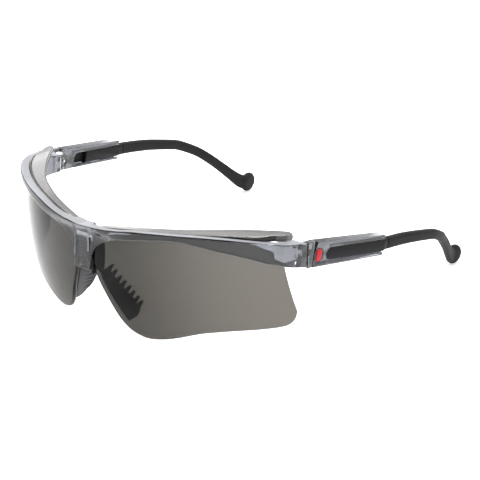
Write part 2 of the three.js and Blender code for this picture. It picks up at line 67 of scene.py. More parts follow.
def temple(points):
    """Temple millimetres (out, back, up) of the left side to design millimetres."""
    return np.asarray(points, float) @ TEMPLE_TURN.T + TEMPLE_START


# ------------------------------------------------------------------ curves
def spline(points, count):
    """A Catmull-Rom curve through the points, sampled evenly in its parameter."""
    p = np.asarray(points, float)
    n = len(p)
    t = np.linspace(0, n - 1, count)
    i = np.minimum(t.astype(int), n - 2)
    w = (t - i)[:, None]
    p0, p1 = p[np.maximum(i - 1, 0)], p[i]
    p2, p3 = p[i + 1], p[np.minimum(i + 2, n - 1)]
    v0, v1 = (p2 - p0) / 2, (p3 - p1) / 2
    return ((2 * p1 - 2 * p2 + v0 + v1) * w ** 3 + (-3 * p1 + 3 * p2 - 2 * v0 - v1) * w ** 2
            + v0 * w + p1)


def at_length(points, shares):
    """Points at given shares of a spline's length."""
    s = spline(points, 1200)
    d = np.concatenate([[0], np.cumsum(np.linalg.norm(np.diff(s, axis=0), axis=1))])
    d /= d[-1]
    return np.stack([np.interp(shares, d, s[:, k]) for k in range(s.shape[1])], -1)


def height(points, x):
    """Height at x of a smooth curve given as [x, height] points."""
    s = spline(points, 1200)
    order = np.argsort(s[:, 0])
    return np.interp(x, s[order, 0], s[order, 1])


def smoothstep(value, low, high):
    """0 up to low, 1 from high on, and a soft rise between them."""
    t = np.clip((value - low) / (high - low), 0, 1)
    return t * t * (3 - 2 * t)


# ------------------------------------------------------------------ mesh helpers
WELD = 2e-6                              # metres: points nearer together than this become one
FLAT_ANGLE = 1.0                         # degrees: faces nearer to one plane than this become one
BEVEL_ANGLE = 33                         # degrees: edges sharper than this are rounded
RIM_LINES = np.array([0, 0.02, 0.08, 0.18, 0.32, 0.5, 0.72, 1.0, 1.4])   # rim radii from the edge


def new_object(name, verts, faces, material):
    """A smooth-shaded object from points in metres."""
    mesh = bpy.data.meshes.new(name)
    mesh.from_pydata([tuple(v) for v in verts], [], faces)
    mesh.materials.append(material)
    obj = bpy.data.objects.new(name, mesh)
    bpy.context.scene.collection.objects.link(obj)
    work = bmesh.new()
    work.from_mesh(mesh)
    bmesh.ops.remove_doubles(work, verts=work.verts, dist=WELD)
    bmesh.ops.recalc_face_normals(work, faces=work.faces)
    work.to_mesh(mesh)
    work.free()
    mesh.polygons.foreach_set("use_smooth", [True] * len(mesh.polygons))
    return obj


def loft(rings):
    """Vertices and faces of a closed body through rings of equal size, with flat ends."""
    n, m = len(rings), len(rings[0])
    faces = []
    for i in range(n - 1):
        for j in range(m):
            k = (j + 1) % m
            faces.append((i * m + j, i * m + k, (i + 1) * m + k, (i + 1) * m + j))
    faces.append(tuple(range(m))[::-1])
    faces.append(tuple((n - 1) * m + j for j in range(m)))
    return np.concatenate(rings), faces


def join(parts):
    """Several bodies as one list of points and one of faces."""
    verts, faces, start = [], [], 0
    for part_verts, part_faces in parts:
        verts.append(np.asarray(part_verts))
        faces += [tuple(i + start for i in face) for face in part_faces]
        start += len(part_verts)
    return np.concatenate(verts), faces


def mirrored(part):
    verts, faces = part
    return np.asarray(verts) * np.array([-1, 1, 1]), faces


def slab(mid, normal, thickness, radius, edge):
    """A sheet with rounded rims. mid and normal are grids, edge the distance to the rim."""
    near = np.clip(edge / radius, 0, 1)
    half = np.asarray(thickness) / 2 * np.sqrt(1 - (1 - near) ** 2)
    n, m = edge.shape
    front = mid - normal * half[..., None]
    back = mid + normal * half[..., None]
    verts = np.concatenate([front.reshape(-1, 3), back.reshape(-1, 3)])
    faces = []
    for i in range(n - 1):
        for j in range(m - 1):
            a, b, c, d = i * m + j, i * m + j + 1, (i + 1) * m + j + 1, (i + 1) * m + j
            faces.append((a, b, c, d))
            faces.append(tuple(n * m + k for k in (d, c, b, a)))
    return verts, faces


def rim_distance(u, v, wide, tall):
    """How far each grid point is from the nearest rim: wide is the size along u, tall along v."""
    return np.minimum.reduce([u[:, None] * wide, (1 - u[:, None]) * wide,
                              v * tall[:, None], (1 - v) * tall[:, None]])


def grid_normals(grid):
    du = np.gradient(grid, axis=0)
    dv = np.gradient(grid, axis=1)
    normal = np.cross(du, dv)
    return normal / np.linalg.norm(normal, axis=-1, keepdims=True)


def rim_spacing(length, inner, radius):
    """Shares from 0 to 1, with extra lines close to both ends for a rounded rim."""
    near = radius * RIM_LINES / length
    middle = np.linspace(near[-1], 1 - near[-1], inner)[1:-1]
    return np.concatenate([near, middle, 1 - near[::-1]])


def finish_piece(obj, body, nodes):
    """Ties a piece to its body, in place of the CAD nodes that it stands for."""
    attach(obj, body)
    if nodes:
        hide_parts(*nodes)


def both_sides(build, name, material, body, node):
    """Makes a left piece and its mirror image on the right."""
    made = []
    for side, sign in SIDES:
        verts, faces = build()
        obj = new_object(f"{side}_{name}", place(verts * np.array([sign, 1, 1])), faces, material)
        finish_piece(obj, body.format(side), [f"{side}_{node}"] if node else [])
        made.append(obj)
    return made


def softened(node, name, width, segments, material, body):
    """A CAD piece with clean flat faces and small rounded edges, as a moulding has."""
    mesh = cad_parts[node].data.copy()
    mesh.name = name
    mesh.materials.clear()
    mesh.materials.append(material)
    obj = bpy.data.objects.new(name, mesh)
    bpy.context.scene.collection.objects.link(obj)
    work = bmesh.new()
    work.from_mesh(mesh)
    bmesh.ops.remove_doubles(work, verts=work.verts, dist=WELD)
    bmesh.ops.dissolve_limit(work, angle_limit=math.radians(FLAT_ANGLE),
                              verts=work.verts, edges=work.edges)
    work.to_mesh(mesh)
    work.free()
    mesh.polygons.foreach_set("use_smooth", [True] * len(mesh.polygons))
    mesh.polygons.foreach_set("material_index", [0] * len(mesh.polygons))
    bevel = obj.modifiers.new("Rounded edges", "BEVEL")
    bevel.width = width / 1000
    bevel.segments = segments
    bevel.limit_method = "ANGLE"
    bevel.angle_limit = math.radians(BEVEL_ANGLE)
    bevel.harden_normals = True
    bevel.miter_outer = "MITER_ARC"
    finish_piece(obj, body, [node])


# ------------------------------------------------------------------ materials
NOISE_SPAN = (0.3, 0.7)                  # where most of a noise pattern's values lie
CLOUD_SCALE = 45                         # slow change of a clear plastic's tint
POLISH_SCALE = 160                       # finer change of its roughness
WAVE_SCALE = 70                          # and the waves of its moulded faces
WAVE_DEPTH = 0.0004
PALE_SHADOW = (0.85, 0.85, 0.86)


def material(name, colour, **sockets):
    """A new material, its node tree and its shader; each socket is named with _ for a space."""
    mat = bpy.data.materials.new(name)
    mat.use_nodes = True
    shader = mat.node_tree.nodes["Principled BSDF"]
    shader.inputs["Base Color"].default_value = (*colour, 1)
    for key, value in sockets.items():
        shader.inputs[key.replace("_", " ")].default_value = value
    return mat, mat.node_tree, shader


def noise(tree, scale, detail=3, rough=0.5):
    node = tree.nodes.new("ShaderNodeTexNoise")
    node.inputs["Scale"].default_value = scale
    node.inputs["Detail"].default_value = detail
    node.inputs["Roughness"].default_value = rough
    where = tree.nodes.new("ShaderNodeTexCoord")
    tree.links.new(where.outputs["Object"], node.inputs["Vector"])
    return node


def vary(tree, source, socket, low, high):
    """Drives a socket from a pattern between two values."""
    node = tree.nodes.new("ShaderNodeMapRange")
    node.inputs["From Min"].default_value, node.inputs["From Max"].default_value = NOISE_SPAN
    node.inputs["To Min"].default_value = low
    node.inputs["To Max"].default_value = high
    tree.links.new(source.outputs["Fac"], node.inputs["Value"])
    tree.links.new(node.outputs["Result"], socket)


def tint(tree, source, socket, low, high):
    """Drives a colour from a pattern between two colours."""
    node = tree.nodes.new("ShaderNodeMix")
    node.data_type = "RGBA"
    node.inputs["A"].default_value = (*low, 1)
    node.inputs["B"].default_value = (*high, 1)
    output = "Fac" if "Fac" in source.outputs else "Result"
    tree.links.new(source.outputs[output], node.inputs["Factor"])
    tree.links.new(node.outputs["Result"], socket)


def bump(tree, shader, source, strength, distance):
    node = tree.nodes.new("ShaderNodeBump")
    node.inputs["Strength"].default_value = strength
    node.inputs["Distance"].default_value = distance
    tree.links.new(source.outputs["Fac"], node.inputs["Height"])
    tree.links.new(node.outputs["Normal"], shader.inputs["Normal"])


def let_lamps_through(tree, shader, colour):
    """Glass that lamps shine through, so that it throws a tinted shadow."""
    out = tree.nodes["Material Output"]
    path = tree.nodes.new("ShaderNodeLightPath")
    clear = tree.nodes.new("ShaderNodeBsdfTransparent")
    clear.inputs["Color"].default_value = (*colour, 1)
    mix = tree.nodes.new("ShaderNodeMixShader")
    tree.links.new(path.outputs["Is Shadow Ray"], mix.inputs["Fac"])
    tree.links.new(shader.outputs["BSDF"], mix.inputs[1])
    tree.links.new(clear.outputs["BSDF"], mix.inputs[2])
    tree.links.new(mix.outputs["Shader"], out.inputs["Surface"])


def across(tree, inner, outer):
    """0 up to inner and 1 from outer on, in metres along X, with a soft rise between them."""
    where = tree.nodes.new("ShaderNodeTexCoord")
    split = tree.nodes.new("ShaderNodeSeparateXYZ")
    ramp = tree.nodes.new("ShaderNodeMapRange")
    ramp.interpolation_type = "SMOOTHSTEP"
    ramp.inputs["From Min"].default_value = inner
    ramp.inputs["From Max"].default_value = outer
    tree.links.new(where.outputs["Object"], split.inputs["Vector"])
    tree.links.new(split.outputs["X"], ramp.inputs["Value"])
    return ramp


def clear_plastic(name, low, high, rough, shadow, wave, painted_light_grade=None, ior=1.5, clear=1.0):
    """Tinted see-through plastic. The grade gives the two places along X across which low turns to high,
    a dark-to-light sweep of painted light.
    """
    mat, tree, shader = material(name, low, Transmission_Weight=clear, IOR=ior)
    cloud = across(tree, *painted_light_grade) if painted_light_grade else noise(tree, CLOUD_SCALE, 2)
    tint(tree, cloud, shader.inputs["Base Color"], low, high)
    vary(tree, noise(tree, POLISH_SCALE, 4), shader.inputs["Roughness"], *rough)
    bump(tree, shader, noise(tree, WAVE_SCALE, 1), wave, WAVE_DEPTH)
    let_lamps_through(tree, shader, shadow)
    return mat


def moulded(name, low, high, rough, grain, depth, spec):
    """Solid moulded plastic or rubber with a fine grain."""
    mat, tree, shader = material(name, low, Specular_IOR_Level=spec)
    tint(tree, noise(tree, 60, 3), shader.inputs["Base Color"], low, high)
    fine = noise(tree, grain, 4, 0.6)
    vary(tree, fine, shader.inputs["Roughness"], *rough)
    bump(tree, shader, fine, 0.25, depth)
    return mat


# painted light: the lens turns from the darker tint to the lighter one from 12 to 68 mm along X, towards
# the left lens's outer side
lens_tint = clear_plastic("smoke_lens", (0.044, 0.0415, 0.0375), (0.118, 0.109, 0.096),
                          rough=(0.0, 0.02), shadow=(0.8, 0.79, 0.78), wave=0.004,
                          painted_light_grade=(0.012, 0.068), ior=1.2)
# the guard's paler, half-opaque smoke: partly its own tint, partly painted grazing reflection
guard_tint_and_sheen = clear_plastic("smoke_guard_and_sheen", (0.170, 0.167, 0.162), (0.215, 0.210, 0.203),
                           rough=(0.1, 0.18), shadow=(0.85, 0.85, 0.84), wave=0.01, ior=1.4, clear=0.5)
frame_clear = clear_plastic("clear_grey_frame", (0.124, 0.130, 0.146), (0.163, 0.170, 0.189),
                            rough=(0.02, 0.06), shadow=PALE_SHADOW, wave=0.012)
sleeve_smoke = clear_plastic("sleeve_smoke", (0.078, 0.082, 0.094), (0.110, 0.115, 0.130),
                             rough=(0.02, 0.06), shadow=PALE_SHADOW, wave=0.012)
hinge_smoke = clear_plastic("hinge_smoke", (0.10, 0.104, 0.112), (0.14, 0.144, 0.155),
                            rough=(0.03, 0.08), shadow=(0.8, 0.8, 0.82), wave=0.012)
# paler and rougher smoke: the bridge's fine ridges, and painted sheen on the bar's upward faces
frost_and_sheen = clear_plastic("frost_and_painted_sheen", (0.33, 0.335, 0.36), (0.41, 0.415, 0.44),
                        rough=(0.35, 0.5), shadow=PALE_SHADOW, wave=0.02, clear=0.4)
# painted highlight: a paler smoke for the light line along the bar's lower front edge
painted_edge_highlight = clear_plastic("painted_edge_highlight", (0.17, 0.174, 0.187), (0.23, 0.235, 0.25),
                          rough=(0.1, 0.2), shadow=PALE_SHADOW, wave=0.01, clear=0.55)
# painted shade: a near-black smoke for the beads that stand for the shadow in the guard's seam and round
# the lug
painted_shade_smoke = clear_plastic("painted_shade_smoke", (0.02, 0.021, 0.024), (0.035, 0.036, 0.04),
                           rough=(0.03, 0.08), shadow=(0.8, 0.8, 0.8), wave=0.01)
rib_grey = moulded("rib_grey", (0.10, 0.10, 0.11), (0.17, 0.17, 0.185),
                   rough=(0.25, 0.4), grain=1800, depth=0.00003, spec=0.5)
arm_dark = moulded("dark_nylon", (0.009, 0.0085, 0.0095), (0.015, 0.014, 0.0155),
                   rough=(0.36, 0.5), grain=2600, depth=0.00003, spec=0.08)
grip_dark = moulded("soft_grip", (0.018, 0.0168, 0.018), (0.027, 0.0255, 0.027),
                    rough=(0.5, 0.66), grain=2200, depth=0.00004, spec=0.06)
clip_dark = moulded("clip_nylon", (0.006, 0.006, 0.007), (0.012, 0.012, 0.013),
                    rough=(0.3, 0.45), grain=2400, depth=0.00002, spec=0.3)
pad_soft = moulded("pad_rubber", (0.036, 0.036, 0.039), (0.060, 0.060, 0.064),
                   rough=(0.42, 0.6), grain=1500, depth=0.00003, spec=0.2)
steel, steel_tree, steel_shader = material("pin_steel", (0.62, 0.62, 0.64), Metallic=1.0)
vary(steel_tree, noise(steel_tree, 900, 4), steel_shader.inputs["Roughness"], 0.22, 0.4)
tint(steel_tree, noise(steel_tree, 300, 2), steel_shader.inputs["Base Color"],
     (0.58, 0.58, 0.6), (0.7, 0.7, 0.71))
badge_red = moulded("red_inlay", (0.42, 0.006, 0.012), (0.52, 0.012, 0.022),
                    rough=(0.3, 0.42), grain=900, depth=0.00001, spec=0.2)

# ------------------------------------------------------------------ lenses with their brow guards
LENS_RIM = [[4.8, 31.5], [5.5, 29], [6.8, 24.7], [10.2, 16.7], [13.2, 9.8], [16.6, 5.3], [20.5, 3.2],
            [24.6, 2.5], [31.1, 3.6], [37.3, 5.7], [45, 8.7], [51.6, 10.2], [57.5, 11], [62.8, 11.4],
            [67.5, 11.8], [69.7, 12.6], [71, 14.8], [71.7, 18.4]]
BROW_TOP = [[0, 49.9], [12, 51.1], [19, 52], [25.2, 53], [35, 53.7], [43.4, 53.9], [49.6, 53.8],
            [56.7, 53.1], [63, 51.8], [67.5, 50.4], [74, 48.2]]
BROW_BOTTOM = [[4.6, 35.2], [5.9, 39.1], [7.7, 41.6], [10, 43.5], [13.2, 45.2], [16.9, 46.9], [21, 48.1],
               [27.3, 49.4], [33, 50.3], [38, 50.9], [43.8, 50.8], [49.7, 49.2], [58.2, 46.4],
               [63.2, 44.1], [67.7, 41.3], [74, 38]]
LENS_THICK = 2.2
LENS_EDGE = 1.1                          # radius of the lens's rounded rim
LENS_BEND = 77.8                         # radius of its front, seen from above
LENS_AXIS = 73.4                         # how far back that radius is centred
LENS_TOP = 52                            # the height from which the next three are measured
LENS_SPREAD = 0.036                      # outwards, per millimetre down
LENS_LEAN = 0.035                        # forwards, per millimetre down
LENS_CURL = 0.0049                       # and back again, per square millimetre down
LENS_CORNER = [68.8, 46.6]
UNDER_BROW = 2.3                         # how far below the bar's top the lens ends
INNER_EDGE = 4.8                         # how far from the middle it starts
NOTCH = 4.6                              # how far its upper outer corner stops short, for the lug
NOTCH_Z = (39.6, 43.2)                   # the heights between which the notch opens


def along_lens(points):
    """[x, height] points as seen from the front, to the way round the lens and the height."""
    x, z = np.asarray(points, float).T
    return np.stack([LENS_BEND * np.arcsin((x - LENS_SPREAD * (LENS_TOP - z)) / LENS_BEND), z], -1)


def lens_point(arc, depth, z):
    """A point in the lens: arc is the way round its front, depth the way in from it."""
    angle = arc / LENS_BEND
    radius = LENS_BEND - depth
    drop = LENS_TOP - z
    axis = LENS_AXIS + (LENS_CURL * drop - LENS_LEAN) * drop
    return np.stack([LENS_SPREAD * drop + radius * np.sin(angle), axis - radius * np.cos(angle), z], -1)


def lens_body():
    """The lens's own sheet, from its lower rim up into the bar."""
    u = rim_spacing(95, 110, LENS_EDGE)  # the rim is about 95 mm long, and the lens 36 mm high
    w = rim_spacing(36, 48, LENS_EDGE)
    brow = [[x, z - UNDER_BROW] for x, z in BROW_TOP if 4 < x < 66]
    top = [[INNER_EDGE, brow[0][1] - 0.5], *brow, LENS_CORNER]
    lower = at_length(along_lens(LENS_RIM), u)
    upper = at_length(along_lens(top), u)
    flat = lower[:, None] * (1 - w[None, :, None]) + upper[:, None] * w[None, :, None]
    flat[..., 0] -= NOTCH * smoothstep(flat[..., 1], *NOTCH_Z) * smoothstep(u, 0.82, 1.0)[:, None]
    mid = lens_point(flat[..., 0], LENS_THICK / 2, flat[..., 1])
    wide = np.linalg.norm(flat[-1] - flat[0], axis=1)
    tall = np.linalg.norm(upper - lower, axis=1)
    normal = grid_normals(mid)
    inside = normal[60, 20]              # a point well inside the lens, whose normal should point back
    normal *= np.sign(inside[1])
    return slab(mid, normal, LENS_THICK, LENS_EDGE, rim_distance(u, w, wide, tall))


GUARD_THICK = 1.5
GUARD_SWELL = 1.1                        # how much thicker it gets towards its outer end
GUARD_EDGE = 0.75                        # radius of its rounded rim
GUARD_LENGTH = 78.0                      # along its front edge
GUARD_BEND = 74.7                        # radius of its front edge, seen from above
GUARD_FLOOR = 0.03                       # metres: a body all above this height is a guard
BAR_AXIS = 71.2                          # how far back the bar's inner arcs are centred
# the seam where the guard meets the bar, along which a dark bead of painted shade runs
SEAM_BEND = 74.86                        # radius of the seam between the guard and the bar
SEAM_START = math.asin(9.5 / 74.9)       # the angles that it runs between
SEAM_STOP = math.asin(62.5 / 74.9)
SEAM_CORNER = [[64.7, 36], [66, 38.2], [67.2, 41.2]]
SEAM_HALF = 0.3                          # half its width, and half its height where it is thinnest
GUARD_REAR = [[7, 0.2], [12.3, 1.2], [18.8, 3], [26.4, 6.2], [36.7, 12.3], [42.5, 17.4], [49.3, 24.5],
              [55.7, 32.2], [60.6, 38.5], [64.4, 43.4], [66.2, 44.8], [67.8, 44.2]]
GUARD_TOP = [[5, 49], [12, 50.3], [19, 51.4], [28, 52.3], [37, 52.9], [45, 53.1], [53, 53], [60, 52.3],
             [68, 50.9]]
GUARD_CORNER = [[64.6, 35.6], [66.2, 37.6], [67.6, 40.4], [68.1, 42.6]]


def on_arc(radius, start, stop, count):
    """Plan points on an arc about the bar's axis, between two angles."""
    angle = np.linspace(start, stop, count)
    return np.stack([radius * np.sin(angle), BAR_AXIS - radius * np.cos(angle)], -1)


def guard_body():
    """The brow guard, a shelf that runs back from the top of the bar."""
    u = rim_spacing(75, 90, GUARD_EDGE)  # about 75 mm long and 9 mm wide
    v = rim_spacing(9, 16, GUARD_EDGE)
    arc = on_arc(GUARD_BEND, math.asin(6.2 / GUARD_BEND), math.asin(63.2 / GUARD_BEND), 24)
    front = at_length(np.concatenate([arc, GUARD_CORNER]), u)
    rear = at_length(GUARD_REAR, u)
    plan = front[:, None] * (1 - v[None, :, None]) + rear[:, None] * v[None, :, None]
    thick = GUARD_THICK + GUARD_SWELL * smoothstep(plan[..., 0], 28, 56)
    middle = height(GUARD_TOP, plan[..., 0]) - thick / 2
    mid = np.concatenate([plan, middle[..., None]], -1)
    normal = np.zeros_like(mid)
    normal[..., 2] = 1
    edge = rim_distance(u, v, np.full(len(v), GUARD_LENGTH), np.linalg.norm(rear - front, axis=1))
    return slab(mid, normal, thick, GUARD_EDGE, edge)


def bead(path, radii, steps=10):
    """A thin rod of oval section along a path: radii are its half width and half height."""
    rings = []
    around = np.linspace(0, 2 * math.pi, steps + 1)[:-1, None]
    ahead = np.gradient(path, axis=0)
    radii = np.broadcast_to(radii, (len(path), 2))
    for centre, way, (wide, tall) in zip(path, ahead, radii):
        upright = abs(way[2]) >= 0.8 * np.linalg.norm(way)
        out = np.cross(way, (0, 1.0, 0) if upright else UP)
        out /= np.linalg.norm(out)
        over = np.cross(out, way)
        over /= np.linalg.norm(over)
        rings.append(centre + out * np.cos(around) * wide + over * np.sin(around) * tall)
    return loft(rings)


def guard_shade_line():
    """A dark bead of painted shade in the seam where the guard meets the bar, deeper under the guard's
    outer end.
    """
    plan = on_arc(SEAM_BEND, SEAM_START, SEAM_STOP, 60)
    plan = np.concatenate([plan, spline([plan[-1], *SEAM_CORNER], 14)[1:]])
    x = plan[:, 0]
    tall = SEAM_HALF + 0.2 * smoothstep(x, 9, 14) + 0.6 * smoothstep(x, 40, 62)
    z = height(GUARD_TOP, x) - 0.1 - tall
    wide = np.full(len(tall), SEAM_HALF)
    return bead(np.concatenate([plan, z[:, None]], -1), np.stack([wide, tall], -1))


def notch_shade_line():
    """A dark bead of painted shade along the lens's rim where it goes round the end piece's lug."""
    z = np.linspace(39.2, 46.2, 24)
    ends = along_lens([LENS_RIM[-1], LENS_CORNER])
    outer = np.interp(z, ends[:, 1], ends[:, 0]) - NOTCH * smoothstep(z, *NOTCH_Z)
    return bead(lens_point(outer + 0.25, 0.5, z), (0.4, 0.5))


def guard_shade_lines():
    return join([guard_shade_line(), notch_shade_line()])


def loose_parts(work):
    """The separate bodies in a mesh, each as a list of its points."""
    parts = []
    seen = set()
    for vert in work.verts:
        if vert in seen:
            continue
        seen.add(vert)
        part = [vert]
        for one in part:
            for edge in one.link_edges:
                other = edge.other_vert(one)
                if other not in seen:
                    seen.add(other)
                    part.append(other)
        parts.append(part)
    return parts


def lens_with_guard(side, sign):
    """One moulding with two materials, the lens's and the guard's, whose paler tint is partly painted
    reflection.
    """
    verts, faces = join([lens_body(), guard_body()])
    obj = new_object(f"{side}_lens_moulding", place(verts * np.array([sign, 1, 1])), faces, lens_tint)
    obj.data.materials.append(guard_tint_and_sheen)
    work = bmesh.new()
    work.from_mesh(obj.data)
    for part in loose_parts(work):
        if min(vert.co.z for vert in part) > GUARD_FLOOR:
            for vert in part:
                for face in vert.link_faces:
                    face.material_index = 1
    work.to_mesh(obj.data)
    work.free()
    finish_piece(obj, "frame", [f"{side}_lens"])


for side, sign in SIDES:
    lens_with_guard(side, sign)

# ------------------------------------------------------------------ brow frame
BAR_BEND = 78                            # radius of the bar's front, seen from above
BAR_FRONT_AXIS = 69.7                    # how far back that radius is centred
BAR_INSIDE = 75                          # radius of its back, about BAR_AXIS
BAR_EDGE = 0.75                          # radius of its rounded edges
INNER_DROP = 0.8                         # how much lower its inner top edge lies
BLOCK_BACK = -1.4                        # the flat back of the bridge block
BLOCK_SIDE = (4.3, 5.6)                  # where that back runs out into the bar's
BLOCK_FOOT = [[4.2, 30], [4.35, 31.4], [4.6, 35.2], [5.9, 39.1]]   # lower edge, up the block's side
FOOT_END = 4.7                           # from here out it is the bar's own lower edge
DENT = 3.4                               # how far the bar's lower front leans back near the bridge
END_TOP = [[33, 50], [37, 49], [42.3, 48.3], [47.6, 47.4]]
END_BOTTOM = [[33, 41], [36.2, 39.8], [39.4, 38.7], [42.7, 37.9], [47.6, 36.8]]
END_OUTSIDE = [[69.3, 34], [71.6, 40.5], [72.6, 45.5], [72.8, 47.6]]
END_INSIDE = [[63.7, 35.5], [64.3, 41.2], [64.3, 45.5], [64.2, 47.6]]
END_START = 33                           # how far back the end piece's own curves begin
HAND_OVER = 2                            # and over what distance its lower edge is blended in
END_FLOOR = 39.2                         # how low the end piece's inner edge may run
END_CAP = 0.5                            # radius of the rounding at its very end
END_SAMPLES = 500
PLAIN_END = 100                          # the sample at which the end piece begins


def section(corner_a, corner_b, flat=5, arc=5):
    """A unit rounded rectangle (a, b), with corner radii given as shares of each side."""
    arcs = []
    for a, b, start in ((0, 0, 180), (1, 0, 270), (1, 1, 0), (0, 1, 90)):
        centre_a = corner_a if a == 0 else 1 - corner_a
        centre_b = corner_b if b == 0 else 1 - corner_b
        angles = [math.radians(start + 90 * k / arc) for k in range(arc + 1)]
        arcs.append([(centre_a + corner_a * math.cos(t), centre_b + corner_b * math.sin(t))
                     for t in angles])
    points = []
    for i in range(4):
        points += arcs[i]
        end_a, end_b = arcs[i][-1]
        next_a, next_b = arcs[(i + 1) % 4][0]
        for k in range(1, flat):
            points.append((end_a + (next_a - end_a) * k / flat, end_b + (next_b - end_b) * k / flat))
    return np.array(points)


def end_floor(x, y):
    """Height of the bar's lower edge round its end, where one curve hands over to another."""
    if y < END_START - HAND_OVER:
        return height(BROW_BOTTOM, x)
    if y < END_START:
        share = (y - (END_START - HAND_OVER)) / HAND_OVER
        return height(BROW_BOTTOM, x) * (1 - share) + END_BOTTOM[0][1] * share
    return height(END_BOTTOM, y)


def bar_stations():
    """Outer and inner plan points and the four corner heights, from the middle to the left end."""
    xs = np.concatenate([np.arange(0, 3.6, 0.6), np.arange(3.6, 6.4, 0.14), np.arange(6.4, 14, 0.5),
                         np.arange(14, 65.5, 1.2)])
    angle = np.arcsin(xs / BAR_BEND)
    outer = np.stack([BAR_BEND * np.sin(angle), BAR_FRONT_AXIS - BAR_BEND * np.cos(angle)], -1)
    inner = np.stack([BAR_INSIDE * np.sin(angle), BAR_AXIS - BAR_INSIDE * np.cos(angle)], -1)
    block = 1 - smoothstep(xs, *BLOCK_SIDE)
    inner[:, 1] = inner[:, 1] * (1 - block) + BLOCK_BACK * block
    top = height(BROW_TOP, xs)
    inner_top = top - INNER_DROP * smoothstep(xs, 6, 14)
    low = np.where(xs > FOOT_END, height(BROW_BOTTOM, xs), np.interp(xs, *np.transpose(BLOCK_FOOT)))
    stations = list(zip(outer, inner, top, inner_top, low, low))
    outer_end = spline([outer[-5], outer[-1], *END_OUTSIDE], END_SAMPLES)
    inner_end = spline([inner[-5], inner[-1], *END_INSIDE], END_SAMPLES)
    shares = np.linspace(0, 1, 26)[1:]
    take = (PLAIN_END + shares * (END_SAMPLES - 1 - PLAIN_END)).astype(int)
    for out_point, in_point in zip(outer_end[take], inner_end[take]):
        x, y = out_point
        top = height(BROW_TOP, x) if y < END_START else height(END_TOP, y)
        low = end_floor(x, y)
        stations.append((out_point, in_point, top, top - INNER_DROP, low, max(low, END_FLOOR)))
    return stations


def bar_ring(station, shrink=0.0):
    """The bar's rounded section at a station, made smaller all round by shrink."""
    outer, inner, top_outer, top_inner, low_outer, low_inner = station
    wide = np.linalg.norm(inner - outer)
    tall = top_outer - low_outer
    a, b = section(min(BAR_EDGE / wide, 0.45), min(BAR_EDGE / tall, 0.45)).T
    if shrink:
        a = 0.5 + (a - 0.5) * (1 - 2 * shrink / wide)
        b = 0.5 + (b - 0.5) * (1 - 2 * shrink / tall)
    plan = outer + (inner - outer) * a[:, None]
    z = (low_outer * (1 - a) + low_inner * a) * (1 - b) + (top_outer * (1 - a) + top_inner * a) * b
    ring = np.concatenate([plan, z[:, None]], -1)
    dent = DENT * smoothstep(50.9 - z, 0, 6) * (1 - smoothstep(np.abs(ring[:, 0]), 6, 29))
    ring[:, 1] += dent * (1 - a)
    return ring


def frame_bar():
    """The whole bar, from its right end round to its left."""
    stations = bar_stations()
    outer, inner, *heights = stations[-1]
    left = [bar_ring(station) for station in stations]
    shift = np.array([0, -END_CAP, 0])
    left[-1] = left[-1] + shift
    for degrees in (30, 60, 90):
        angle = math.radians(degrees)
        step = np.array([0, END_CAP * math.sin(angle)])
        cap = (outer + step, inner + step, *heights)
        left.append(bar_ring(cap, END_CAP * (1 - math.cos(angle))) + shift)
    right = [ring * np.array([-1, 1, 1]) for ring in left[1:]][::-1]
    return loft(right + left)


def lathe(profile, centre, steps=40):
    """A body turned round an upright axis, from (radius, height) points that close on themselves."""
    rings = []
    for k in range(steps):
        t = 2 * math.pi * k / steps
        rings.append(np.array([[centre[0] + r * math.cos(t), centre[1] + r * math.sin(t), z]
                               for r, z in profile]))
    m = len(profile)
    faces = []
    for k in range(steps):
        n = (k + 1) % steps
        for j in range(m):
            i = (j + 1) % m
            faces.append((k * m + j, n * m + j, n * m + i, k * m + i))
    return np.concatenate(rings), faces


def rounded_profile(r0, r1, z0, z1, radius):
    """A rounded rectangle between two radii and two heights."""
    shape = section(radius / (r1 - r0), radius / (z1 - z0), flat=2, arc=4)
    return [(r0 + (r1 - r0) * a, z0 + (z1 - z0) * b) for a, b in shape]


def box_body(low, high, radius):
    """A box with all its upright edges and its rims rounded."""
    low, high = np.array(low, float), np.array(high, float)
    size = high - low
    shape = section(radius / size[0], radius / size[1], flat=3, arc=4)
    steps = []
    for degrees in (90, 60, 30, 0):
        angle = math.radians(degrees)
        steps.append((radius * (1 - math.sin(angle)), radius * (1 - math.cos(angle))))
    steps += [(size[2] - rise, inset) for rise, inset in steps[::-1]]
    rings = []
    for rise, inset in steps:
        wide, deep = size[0] - 2 * inset, size[1] - 2 * inset
        rings.append(np.stack([low[0] + inset + wide * shape[:, 0], low[1] + inset + deep * shape[:, 1],
                               np.full(len(shape), low[2] + rise)], -1))
    return loft(rings)


FOLD = (67.4, 49.6)                      # the fold screw, seen from above
KNUCKLES = ((39, 40.8), (43.6, 45.4))    # the heights of the frame's two knuckles
KNUCKLE_RADII = (1.2, 2.0)
KNUCKLE_EDGE = 0.25
TOP_FACING = 0.86                        # how squarely a face looks up to take the painted sheen
TOP_FACES_FROM = 46.6                    # and how high it lies
BEND_CENTRE = 71                         # the faces' outward direction is taken from here
UNDER_FACING = (-0.88, -0.45)            # how far a face of the lower front edge looks down, to take the painted highlight
OUT_FACING = 0.3                         # and outwards
BRIDGE_SIDE = 0.014                      # metres: nearer the middle than this, the edge stays clear, without the painted highlight
TOP_SHEEN_SLOT = 1
HIGHLIGHT_EDGE_SLOT = 2


def brow_body():
    """The bar with the hinge knuckles at both its ends."""
    knuckles = []
    for low, high in KNUCKLES:
        knuckles.append(lathe(rounded_profile(*KNUCKLE_RADII, low, high, KNUCKLE_EDGE), FOLD))
        knuckles.append(box_body((65.4, 46.6, low + 0.1), (66.6, 49.6, high - 0.1), KNUCKLE_EDGE))
    return join([frame_bar()] + knuckles + [mirrored(part) for part in knuckles])


